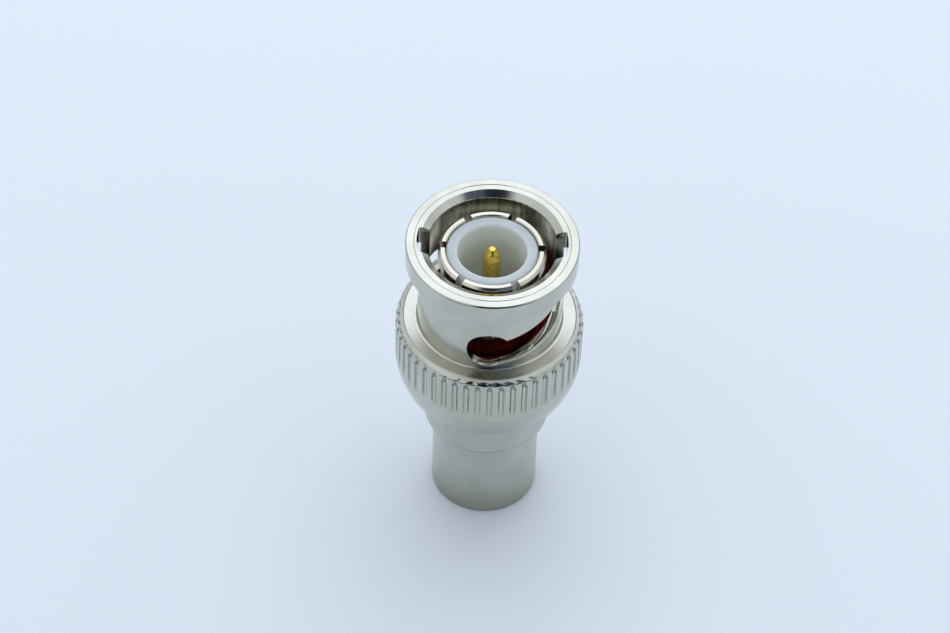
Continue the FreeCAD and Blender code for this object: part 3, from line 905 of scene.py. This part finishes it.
def slottedTube(name, upper, lower, lines, columns, gapColumns=5):
    # a tube whose upper outline stands only between parallel-sided slots; its lower one goes all round
    grids, walls = [], []
    radius = upper[:, 0]
    lowerRadius = np.maximum(lower[:, 0], upper[:, 0].min())
    share = np.linspace(0, 1, columns)[:, None]
    gapShare = np.linspace(0, 1, gapColumns)[:, None]
    for k, (direction, right, left) in enumerate(lines):
        ahead, aheadRight = lines[(k + 1) % len(lines)][:2]
        ahead += 360 if ahead <= direction else 0
        begin, finish = sideTurn(direction, left, radius), sideTurn(ahead, aheadRight, radius)
        finger = polarGrid(radius[None, :], begin + (finish - begin) * share, upper[:, 1][None, :])
        grids.append((finger, False, False, None))
        walls += [finger[0], finger[-1]]
        begin, finish = sideTurn(direction, left, lowerRadius), sideTurn(ahead, aheadRight, lowerRadius)
        base = polarGrid(lower[:, 0][None, :], begin + (finish - begin) * share, lower[:, 1][None, :])
        grids.append((base, False, False, None))
        begin, finish = sideTurn(direction, right, lowerRadius), sideTurn(direction, left, lowerRadius)
        gap = polarGrid(lower[:, 0][None, :], begin + (finish - begin) * gapShare, lower[:, 1][None, :])
        grids.append((gap, False, True, None))
    return buildPiece(name, grids, walls)


def makeContact(size):
    # fingers with a rolled tip on a thin tube, above a flange, a neck and a spigot
    floor = contactTop - size["slotLength"]
    flangeTop = gasketLow
    flangeLow = flangeTop - size["flangeThickness"]
    spigotTop = contactLow + size["spigotLength"]
    bulgeTop = contactTop - size["nose"]
    bulgeLow = bulgeTop - size["bulgeLength"]
    tube, bore = size["tube"], size["bore"]
    finger = softOutline([
        (tube, floor),
        (tube, bulgeLow - size["taper"], size["taperRound"]),
        (size["bulge"], bulgeLow, size["bulgeRound"]),
        (size["bulge"], bulgeTop, size["noseRound"]),
        (size["faceOuter"], contactTop, size["faceRound"]),
        (size["faceInner"], contactTop, size["faceRound"]),
        (bore, contactTop - size["bevelHeight"], size["faceRound"]),
        (bore, floor),
    ], steps=7)
    rest = softOutline([
        (tube, floor),
        (tube, flangeTop),
        (flangeRadius, flangeTop, size["flangeRound"]),
        (flangeRadius, flangeLow, size["flangeRound"]),
        (size["neck"], flangeLow),
        (size["neck"], spigotTop),
        (size["spigot"], spigotTop),
        (size["spigot"], contactLow, size["spigotRound"]),
        (size["shellBore"], contactLow),
        (size["shellBore"], flangeLow - size["seatThickness"]),
        (size["seatBore"], flangeLow - size["seatThickness"]),
        (size["seatBore"], flangeLow),
        (bore, flangeLow),
        (bore, floor),
    ], steps=3)
    return slottedTube("springFingerContact", finger, rest, slotLines(size), size["columns"])


contactMetal = turnedMetal("warmContactNickel", contactLook, contactPaintedShade)
plugContact = makeContact(fingerSizes)
place(plugContact, "adapter_body", "plug_contact", "contact_nickel", contactMetal)


# Metal of the phono end, for the shell and the socket contact in it

shellSizes = {
    "barrel": 4.19,
    "barrelLength": 8.46,
    "barrelRound": 0.08,
    "edge": 0.22,
    "bore": 3.3,
    "lip": 3.0,
    "lipRound": 0.05,
    "lipThickness": 0.3,
    "pocket": 3.94,
    "pocketRound": 0.03,
    "spigotLength": 3.2,
    "collarRound": 0.14,
}
shellLook = dict(nickelLook, **{
    "lightTone": (0.57, 0.57, 0.51),
    "darkTone": (0.50, 0.50, 0.44),
    "roughness": 0.18,
    # painted shade: a darker, browner barrel towards its foot, a dark line under the collar and one round
    # the foot
    "footTone": (0.37, 0.36, 0.29),
    "footReach": 4.5,
    "footShare": 0.75,
    "footEdge": (0.1, 0.24),
    "collarSkin": (0.19, 0.13),
    "collarEdge": (-0.06, -0.05, 0.09, 0.2),
})


def shellPaintedShade(look, surface, tone, rough):
    # painted shade: the barrel is painted darker and browner towards its free end, with dark lines painted
    # under the collar and round the foot
    # painted shade towards the foot
    shadeToFoot = 1 - surface["height"].between(shellLow, shellLow + look["footReach"])
    tone = (shadeToFoot * look["footShare"]).mixed(tone, look["footTone"])
    # painted shade: a dark line under the collar and one round the foot
    across = [shellRadius - step for step in look["collarSkin"]]
    along = [shellSizes["barrelLength"] + step for step in look["collarEdge"]]
    paintedShade = surface["radius"].between(*across) * surface["height"].band(*along)
    paintedShade = paintedShade + (1 - surface["height"].between(*[shellLow + step for step in look["footEdge"]]))
    return (paintedShade * look["footShare"]).mixed(tone, look["pitTone"]), rough


shellMetal = turnedMetal("satinShellNickel", shellLook, shellPaintedShade)


# Socket contact of the phono jack: the same kind of slotted tube, mouth down

socketSizes = {
    "bore": 1.62,
    "leadIn": 0.2,
    "leadRound": 0.04,
    "mouthRound": 0.08,
    "endWall": 0.7,
    "endRound": 0.06,
    "rivetHole": 0.62,
    "slot": 0.4,
    "slotLength": 6.0,
    "slotTurn": 45,
    "count": 4,
    "columns": 20,
}


def makeSocket(size):
    # a tube with four slots up from its mouth, closed at the top round the pin's rivet
    floor = socketLow + size["slotLength"]
    wallLow = socketTop - size["endWall"]
    finger = softOutline([
        (size["bore"], floor),
        (size["bore"], socketLow + size["leadIn"]),
        (size["bore"] + size["leadIn"], socketLow, size["leadRound"]),
        (socketRadius, socketLow, size["mouthRound"]),
        (socketRadius, floor),
    ], steps=4)
    rest = softOutline([
        (size["bore"], floor),
        (size["bore"], wallLow),
        (size["rivetHole"], wallLow),
        (size["rivetHole"], socketTop),
        (socketRadius, socketTop, size["endRound"]),
        (socketRadius, floor),
    ], steps=4)
    half = size["slot"] / 2
    lines = [(size["slotTurn"] + k * 360 / size["count"], -half, half) for k in range(size["count"])]
    return slottedTube("phonoSocketContact", finger, rest, lines, size["columns"])


socketContact = makeSocket(socketSizes)
place(socketContact, "adapter_body", "socket_contact", "socket_nickel", shellMetal)
print("stage: nut and contacts made")


# Turned pieces

def makeShell(size):
    # the barrel with a thin lip at its mouth, and the wider collar above it with the spigot's pocket
    step, lipTop = size["barrelLength"], shellLow + size["lipThickness"]
    pocketLow = shellTop - size["spigotLength"]
    outline = softOutline([
        (size["lip"], shellLow, size["lipRound"]),
        (size["barrel"], shellLow, size["edge"]),
        (size["barrel"], step, size["barrelRound"]),
        (shellRadius, step, size["collarRound"]),
        (shellRadius, shellTop, size["collarRound"]),
        (size["pocket"], shellTop, size["pocketRound"]),
        (size["pocket"], pocketLow),
        (size["bore"], pocketLow),
        (size["bore"], lipTop),
        (size["lip"], lipTop),
    ], steps=6)
    return buildTurned("phonoJackShell", outline)


jackShell = makeShell(shellSizes)
place(jackShell, "adapter_body", "jack_shell", "shell_nickel", shellMetal)

gasketSizes = {"bore": 3.9, "footRound": 0.08, "round": 0.22}


def makeGasket(size):
    # a ring of nearly square section, rounder above than below
    outline = softOutline([
        (size["bore"], gasketLow),
        (gasketRadius, gasketLow, size["footRound"]),
        (gasketRadius, gasketTop, size["round"]),
        (size["bore"], gasketTop, size["round"]),
    ], steps=7)
    return buildTurned("redSiliconeGasket", outline, columns=192)


gasket = makeGasket(gasketSizes)
place(gasket, "adapter_body", "gasket", "gasket_rubber", gasketRubber)

washerSizes = {
    "bore": 4.12,
    "round": 0.05,
    "waves": 3,
    "thickness": 0.2,
    "waveRound": 0.04,
    "columns": 240,
    "squashed": 0.26,
}


def strip(inner, outer, low, high, edgeRound):
    # the section of a flat ring, with its four edges rounded
    corners = [(inner, low), (outer, low), (outer, high), (inner, high)]
    return softOutline([(*corner, edgeRound) for corner in corners], steps=4)


washerOutline = strip(washerSizes["bore"], washerRadius, washerLow, washerTop, washerSizes["round"])
thrustWasher = buildTurned("flatThrustWasher", washerOutline, columns=192)
place(thrustWasher, "thrust_washer", "thrust_washer", "washer_steel", springMetal)


def makeWave(size):
    # a flat strip's section carried round the axis, its height a cosine of the azimuth
    half = size["thickness"] / 2
    section = strip(size["bore"], waveRadius, -half, half, size["waveRound"])
    turn = np.linspace(0, 360, size["columns"], endpoint=False)[:, None]
    swing = ((waveTop - waveLow) / 2 - half) * np.cos(np.radians(size["waves"] * turn))
    height = section[:, 1][None, :] + (waveTop + waveLow) / 2 + swing
    wave = polarGrid(section[:, 0][None, :], turn, height)
    return buildPiece("waveSpringWasher", [(wave, True, True, None)])


waveWasher = makeWave(washerSizes)
place(waveWasher, "adapter_body", "wave_washer", "washer_steel", springMetal)
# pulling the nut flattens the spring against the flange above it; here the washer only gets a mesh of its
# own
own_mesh(waveWasher)

cupSizes = {
    "mouth": 2.66,
    "mouthRound": 0.25,
    "rimRound": 0.2,
    "funnelDepth": 1.6,
    "funnelRound": 0.8,
    "bore": 2.48,
    "depth": 8.0,
    "floorRound": 0.15,
    "pinHole": 0.89,
    "holeRound": 0.03,
    "stem": 2.7,
    "stemRound": 0.1,
    "stemHeight": 1.2,
    "stepRound": 0.05,
    "socketRoom": 2.19,
    "socketDepth": 1.35,
}


def makeCup(size):
    # a deep cup with a funnel mouth, on a narrower stem that is hollow below for the socket contact
    stemTop, roomTop = cupLow + size["stemHeight"], cupLow + size["socketDepth"]
    floor = cupTop - size["depth"]
    outline = softOutline([
        (size["socketRoom"], cupLow),
        (size["stem"], cupLow, size["stemRound"]),
        (size["stem"], stemTop),
        (cupRadius, stemTop, size["stepRound"]),
        (cupRadius, cupTop, size["rimRound"]),
        (size["mouth"], cupTop, size["mouthRound"]),
        (size["bore"], cupTop - size["funnelDepth"], size["funnelRound"]),
        (size["bore"], floor, size["floorRound"]),
        (size["pinHole"], floor, size["holeRound"]),
        (size["pinHole"], roomTop),
        (size["socketRoom"], roomTop),
    ], steps=8)
    return buildTurned("milkyPlugCup", outline, columns=192, longest=0.4)


plugCup = makeCup(cupSizes)
place(plugCup, "adapter_body", "plug_insulator", "cup_plastic", cupPlastic)

sleeveSizes = {
    "bore": 2.19,
    "guide": 1.75,
    "guideThickness": 0.6,
    "guideRound": 0.03,
    "leadIn": 0.3,
    "leadRound": 0.04,
    "footRound": 0.06,
}


def makeSleeve(size):
    # a tube round the socket contact, with a bevelled guide for the plug's pin at its foot
    leadTop, guideTop = sleeveLow + size["leadIn"], sleeveLow + size["guideThickness"]
    outline = softOutline([
        (size["guide"] + size["leadIn"], sleeveLow, size["leadRound"]),
        (sleeveRadius, sleeveLow, size["footRound"]),
        (sleeveRadius, sleeveTop),
        (size["bore"], sleeveTop),
        (size["bore"], guideTop),
        (size["guide"], guideTop, size["guideRound"]),
        (size["guide"], leadTop),
    ], steps=5)
    return buildTurned("milkyJackSleeve", outline, columns=160)


jackSleeve = makeSleeve(sleeveSizes)
place(jackSleeve, "adapter_body", "socket_insulator", "sleeve_plastic", sleevePlastic)

pinSizes = {
    "radius": 0.675,
    "root": 0.85,
    "rootRound": 0.04,
    "rivet": 0.6,
    "rivetLength": 0.7,
    "collarThickness": 0.5,
    "edgeRound": 0.05,
    "tip": 0.24,
    "tipRound": 0.06,
    "nose": 0.95,
    "shoulder": 0.52,
    "shoulderDrop": 0.42,
    "shoulderRound": 0.5,
    "columns": 72,
    "longest": 0.5,
}


def makePin(size):
    # a turned pin with a pointed nose, closed at both ends on the axis
    collarLow = pinLow + size["rivetLength"]
    collarTop = collarLow + size["collarThickness"]
    cupFloor = cupTop - cupSizes["depth"]
    outline = softOutline([
        (0, pinLow),
        (size["rivet"], pinLow, size["edgeRound"]),
        (size["rivet"], collarLow),
        (pinCollar, collarLow, size["edgeRound"]),
        (pinCollar, collarTop, size["edgeRound"]),
        (size["root"], collarTop),
        (size["root"], cupFloor, size["edgeRound"]),
        (size["radius"], cupFloor, size["rootRound"]),
        (size["radius"], pinTop - size["nose"], size["tipRound"]),
        (size["shoulder"], pinTop - size["shoulderDrop"], size["shoulderRound"]),
        (size["tip"], pinTop, size["tipRound"]),
        (0, pinTop),
    ], steps=7)
    return buildTurned("goldCentrePin", outline, size["columns"], size["longest"])


centrePin = makePin(pinSizes)
place(centrePin, "adapter_body", "centre_pin", "gold_plate", goldMetal)
print("stage: turned pieces made")


# Floor, light and camera

floorLook = {
    "width": 1.6,
    "columns": 9,
    # painted shade: the floor's tone towards the camera is darker than far away
    "near": (0.755, 0.805, 0.85),
    "far": (0.81, 0.86, 0.90),
    "shadeFrom": -80,
    "shadeTo": 60,
    "cloudScale": 0.012,
    "cloudReach": 30,
}


def buildFlat(name, grid):
    # an open sheet of one grid of points, in metres
    mesh = bpy.data.meshes.new(name)
    quads = gridQuads(grid.shape, False, False)
    mesh.from_pydata((grid.reshape(-1, 3) * mm).tolist(), [], quads.tolist())
    flat = bpy.data.objects.new(name, mesh)
    bpy.context.scene.collection.objects.link(flat)
    return flat


def makeFloor(look):
    # a flat square, faintly uneven, with painted shade making it a little darker towards the camera
    side = np.linspace(-0.5, 0.5, look["columns"]) * look["width"]
    x, y = np.meshgrid(side, side, indexing="ij")
    floor = buildFlat("paleFloor", np.stack([x, y, 0 * x], -1) / mm)
    material, tree, shader = newMaterial("paleTable", {"Specular IOR Level": 0.2, "Roughness": 0.75})
    point = objectPoint(tree)
    cloud = noise(tree, point, look["cloudScale"], detail=3.0, roughness=0.5)
    depth = axesOf(tree, point)[1] + cloud * look["cloudReach"] - look["cloudReach"] / 2
    tone = depth.between(look["shadeFrom"], look["shadeTo"]).mixed(look["near"], look["far"])
    feed(tree, shader, Base_Color=tone)
    floor.data.materials.append(material)


skyLook = {
    "low": (0.62, 0.68, 0.76),
    "high": (0.84, 0.89, 0.96),
    "rise": (0.0, 0.9),
    "horizon": (0.22, 0.24, 0.25),
    "horizonEdge": (0.10, 0.22),
    "card": (0.012, 0.016, 0.03),
    "cardAcross": (-0.34, -0.16, 0.44, 0.62),
    "cardFront": (-0.24, -0.16),
    "cardInDiffuse": 0.4,
    "window": (0.32, 0.44, 0.64),
    "windowAcross": (0.10, 0.18, 0.48, 0.56),
    "windowShare": 0.7,
    "speckleScale": 26.0,
    "speckleEdge": (0.42, 0.62),
    "raggedScale": 9.0,
    "raggedReach": 0.16,
    "horizonRagged": 0.3,
    "frontRagged": 0.5,
    "backdrop": (0.75, 0.84, 0.97),
    "strength": 1.0,
}


def makeSky(look):
    # a soft white tent: darker all round near the horizon, with a ragged dark card high on the camera's side
    # and a speckled blue window in the card; the camera itself sees a plain pale backdrop
    world = bpy.data.worlds.new("softTent")
    bpy.context.scene.world = world
    world.use_nodes = True
    tree = world.node_tree
    shader = next(node for node in tree.nodes if node.type == "BACKGROUND")
    direction = Wire.node(tree, "ShaderNodeTexCoord", output=0)
    x, y, z = axesOf(tree, direction)
    ragged = noise(tree, direction, look["raggedScale"], detail=3.0, roughness=0.6)
    ragged = ragged * look["raggedReach"] - look["raggedReach"] / 2
    sky = z.between(*look["rise"]).mixed(look["low"], look["high"])
    sky = (z + ragged * look["horizonRagged"]).between(*look["horizonEdge"]).mixed(look["horizon"], sky)
    across = x + ragged
    speckle = noise(tree, direction, look["speckleScale"], detail=2.0, roughness=0.6)
    window = across.band(*look["windowAcross"]) * speckle.between(*look["speckleEdge"])
    cardTone = (window * look["windowShare"]).mixed(look["card"], look["window"])
    glossy = Wire.node(tree, "ShaderNodeLightPath", output=3)
    front = 1 - (y + ragged * look["frontRagged"]).between(*look["cardFront"])
    card = across.band(*look["cardAcross"]) * front
    card = card * (glossy * (1 - look["cardInDiffuse"]) + look["cardInDiffuse"])
    seen = Wire.node(tree, "ShaderNodeLightPath", output=0)
    sky = seen.mixed(card.mixed(sky, cardTone), look["backdrop"])
    tree.links.new(sky.socket, shader.inputs["Color"])
    shader.inputs["Strength"].default_value = look["strength"]


flagLook = {
    "distance": 60,
    "low": 9,
    "high": 30,
    "turn": 48,
    "columns": 25,
    "dark": (0.01, 0.011, 0.014),
    "pale": (0.03, 0.033, 0.04),
    "weave": 0.4,
}


def makeFlag(look):
    # a low black flag bent round the camera's side, only in the reflections: an upright arc of a cylinder
    turn = np.linspace(-90 - look["turn"], -90 + look["turn"], look["columns"])[:, None]
    height = np.array([[look["low"], look["high"]]])
    flag = buildFlat("blackFlag", polarGrid(look["distance"] + 0 * height, turn, height))
    material, tree, shader = newMaterial("blackCloth", {"Roughness": 0.9, "Specular IOR Level": 0.1})
    weave = noise(tree, objectPoint(tree), look["weave"], detail=3.0, roughness=0.6)
    feed(tree, shader, Base_Color=weave.mixed(look["dark"], look["pale"]))
    flag.data.materials.append(material)
    flag.visible_camera = False
    flag.visible_diffuse = False
    flag.visible_shadow = False


softbox = {
    "place": (0.04, 0.46, 0.53),
    "aim": (0, 0, 0.014),
    "wide": 0.8,
    "deep": 1.05,
    "power": 2.15,
    "tone": (0.84, 0.885, 1.0),
}


def makeSoftbox(lamp):
    # one large soft lamp above and behind, turned towards the adapter's middle
    light = bpy.data.lights.new("topSoftbox", "AREA")
    light.shape = "RECTANGLE"
    light.size = lamp["wide"]
    light.size_y = lamp["deep"]
    light.energy = lamp["power"]
    light.color = lamp["tone"]
    holder = bpy.data.objects.new("topSoftbox", light)
    aim = Vector(np.array(lamp["aim"]) - np.array(lamp["place"]))
    holder.location = lamp["place"]
    holder.rotation_euler = aim.to_track_quat("-Z", "Y").to_euler()
    bpy.context.scene.collection.objects.link(holder)


cameraView = {
    "focalPixels": 3300.0,
    "imageWidth": 950.0,
    "sensor": 36.0,
    "distance": 254.275,
    "elevation": 49.004,
    "roll": 2.0,
    "aside": -1.13,
    "aimHeight": 19.098,
    "nearest": 0.01,
}


def makeCamera(view):
    # a long lens at the photograph's angle: aim at the axis, lift by the elevation, then roll
    lift, roll = math.radians(view["elevation"]), math.radians(view["roll"])
    back = np.array([0, -math.cos(lift), math.sin(lift)])
    right, up = np.array([1.0, 0, 0]), np.array([0, math.sin(lift), math.cos(lift)])
    rolledRight = math.cos(roll) * right + math.sin(roll) * up
    rolledUp = math.cos(roll) * up - math.sin(roll) * right
    middle = np.array([view["aside"], 0, view["aimHeight"]])
    spot = (middle + view["distance"] * back) * mm
    lens = bpy.data.cameras.new("productCamera")
    lens.sensor_width = view["sensor"]
    lens.lens = view["focalPixels"] / view["imageWidth"] * view["sensor"]
    lens.clip_start = view["nearest"]
    holder = bpy.data.objects.new("productCamera", lens)
    turned = Matrix(np.column_stack([rolledRight, rolledUp, back]).tolist()).to_4x4()
    turned.translation = spot
    holder.matrix_world = turned
    bpy.context.scene.collection.objects.link(holder)
    bpy.context.scene.camera = holder


makeFloor(floorLook)
makeSky(skyLook)
makeFlag(flagLook)
makeSoftbox(softbox)
makeCamera(cameraView)
bpy.context.scene.view_settings.view_transform = "Standard"
print("stage: floor, light and camera made")
